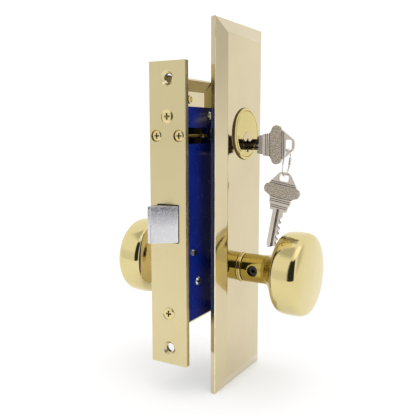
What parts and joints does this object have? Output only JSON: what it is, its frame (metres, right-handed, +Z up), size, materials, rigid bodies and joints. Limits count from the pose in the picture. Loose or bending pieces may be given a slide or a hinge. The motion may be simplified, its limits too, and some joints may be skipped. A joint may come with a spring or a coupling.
{
  "type": "mortise lock",
  "caption": "Mortise lock set: a case with an armoured front and spring latch, knobs on bevelled plates each side, and a keyed cylinder with its key and a spare on a ring.",
  "frame": {"origin": "middle of the two door screw holes, on the outer face of the armour front", "axes": "+X across the door to the outdoor side, +Y from the front into the door, +Z up"},
  "size_m": [0.1486, 0.0978, 0.254],
  "materials": {
    "satin_brass": "satin",
    "polished_brass": "polished",
    "blue_paint": "gloss",
    "cast_zinc": "satin",
    "nickel": "satin nickel",
    "steel": "satin",
    "bright_steel": "polished"
  },
  "bodies": {
    "lock_case": {"armour_front": "satin_brass", "armour_screws": "satin_brass", "case_front": "satin_brass", "case_body": "blue_paint", "case_cover": "blue_paint", "case_posts": "steel", "cover_screws": "bright_steel", "cover_rivet": "bright_steel", "latch_guide": "steel", "cylinder_set_screws": "satin_brass", "cylinder_body": "polished_brass", "cylinder_collar": "polished_brass", "driver_pins": "polished_brass", "pin_springs": "steel", "pin_cover": "polished_brass", "outer_plate": "polished_brass", "outer_posts": "polished_brass", "outer_knob_ring": "polished_brass", "inner_plate": "polished_brass", "inner_bushes": "polished_brass", "inner_knob_ring": "polished_brass"},
    "latch": {"latch_bolt": "cast_zinc", "latch_tail": "steel", "latch_spring_washer": "steel", "latch_spring": "steel"},
    "knobs": {"hub": "steel", "spindle": "steel", "outer_knob_shank": "polished_brass", "outer_knob_head": "polished_brass", "outer_knob_screw": "steel", "inner_knob_shank": "polished_brass", "inner_knob_head": "polished_brass", "inner_knob_screw": "steel", "hub_spring": "steel"},
    "lever": {"key_lever": "steel"},
    "plug": {"cylinder_plug": "polished_brass", "key_pins": "polished_brass", "cylinder_cam": "polished_brass", "cam_screws": "steel"},
    "key": {"key": "nickel"},
    "ring": {"key_ring": "bright_steel", "ring_sleeve": "bright_steel"},
    "spare_key": {"spare_key": "nickel"}
  },
  "joints": [
    {"name": "knob_turn", "type": "hinge", "parent": "lock_case", "child": "knobs", "pos_m": [0, 0.0511, -0.0403], "axis": [-1, 0, 0], "range_deg": [0, 52], "stiffness_Nm_per_rad": 0.3, "springref_deg": -17.19, "deforming": ["hub_spring"]},
    {"name": "latch_slide", "type": "slide", "parent": "lock_case", "child": "latch", "axis": [0, 1, 0], "range_m": [0, 0.0128], "deforming": ["latch_spring"]},
    {"name": "plug_turn", "type": "hinge", "parent": "lock_case", "child": "plug", "pos_m": [0.0333, 0.0511, 0.0492], "axis": [1, 0, 0], "range_deg": [0, 75], "stiffness_Nm_per_rad": 0.02},
    {"name": "lever_swing", "type": "hinge", "parent": "lock_case", "child": "lever", "pos_m": [0.00365, 0.072, 0.064], "axis": [1, 0, 0], "range_deg": [0, 13]},
    {"name": "key_slide", "type": "slide", "parent": "plug", "child": "key", "axis": [1, 0, 0], "range_m": [-0.0073, 0]},
    {"name": "ring_swing", "type": "hinge", "parent": "key", "child": "ring", "pos_m": [0.0638, 0.0511, 0.0449], "axis": [1, 0, 0], "range_deg": [-12, 12]},
    {"name": "spare_key_swing", "type": "hinge", "parent": "ring", "child": "spare_key", "pos_m": [0.06151, 0.0511, 0.02624], "axis": [0, 1, 0], "range_deg": [0, 9]}
  ],
  "couplings": [
    {"joint": "latch_slide", "follows": "knob_turn", "m_per_rad": 0.014},
    {"joint": "lever_swing", "follows": "plug_turn", "ratio": 0.1707}
  ]
}
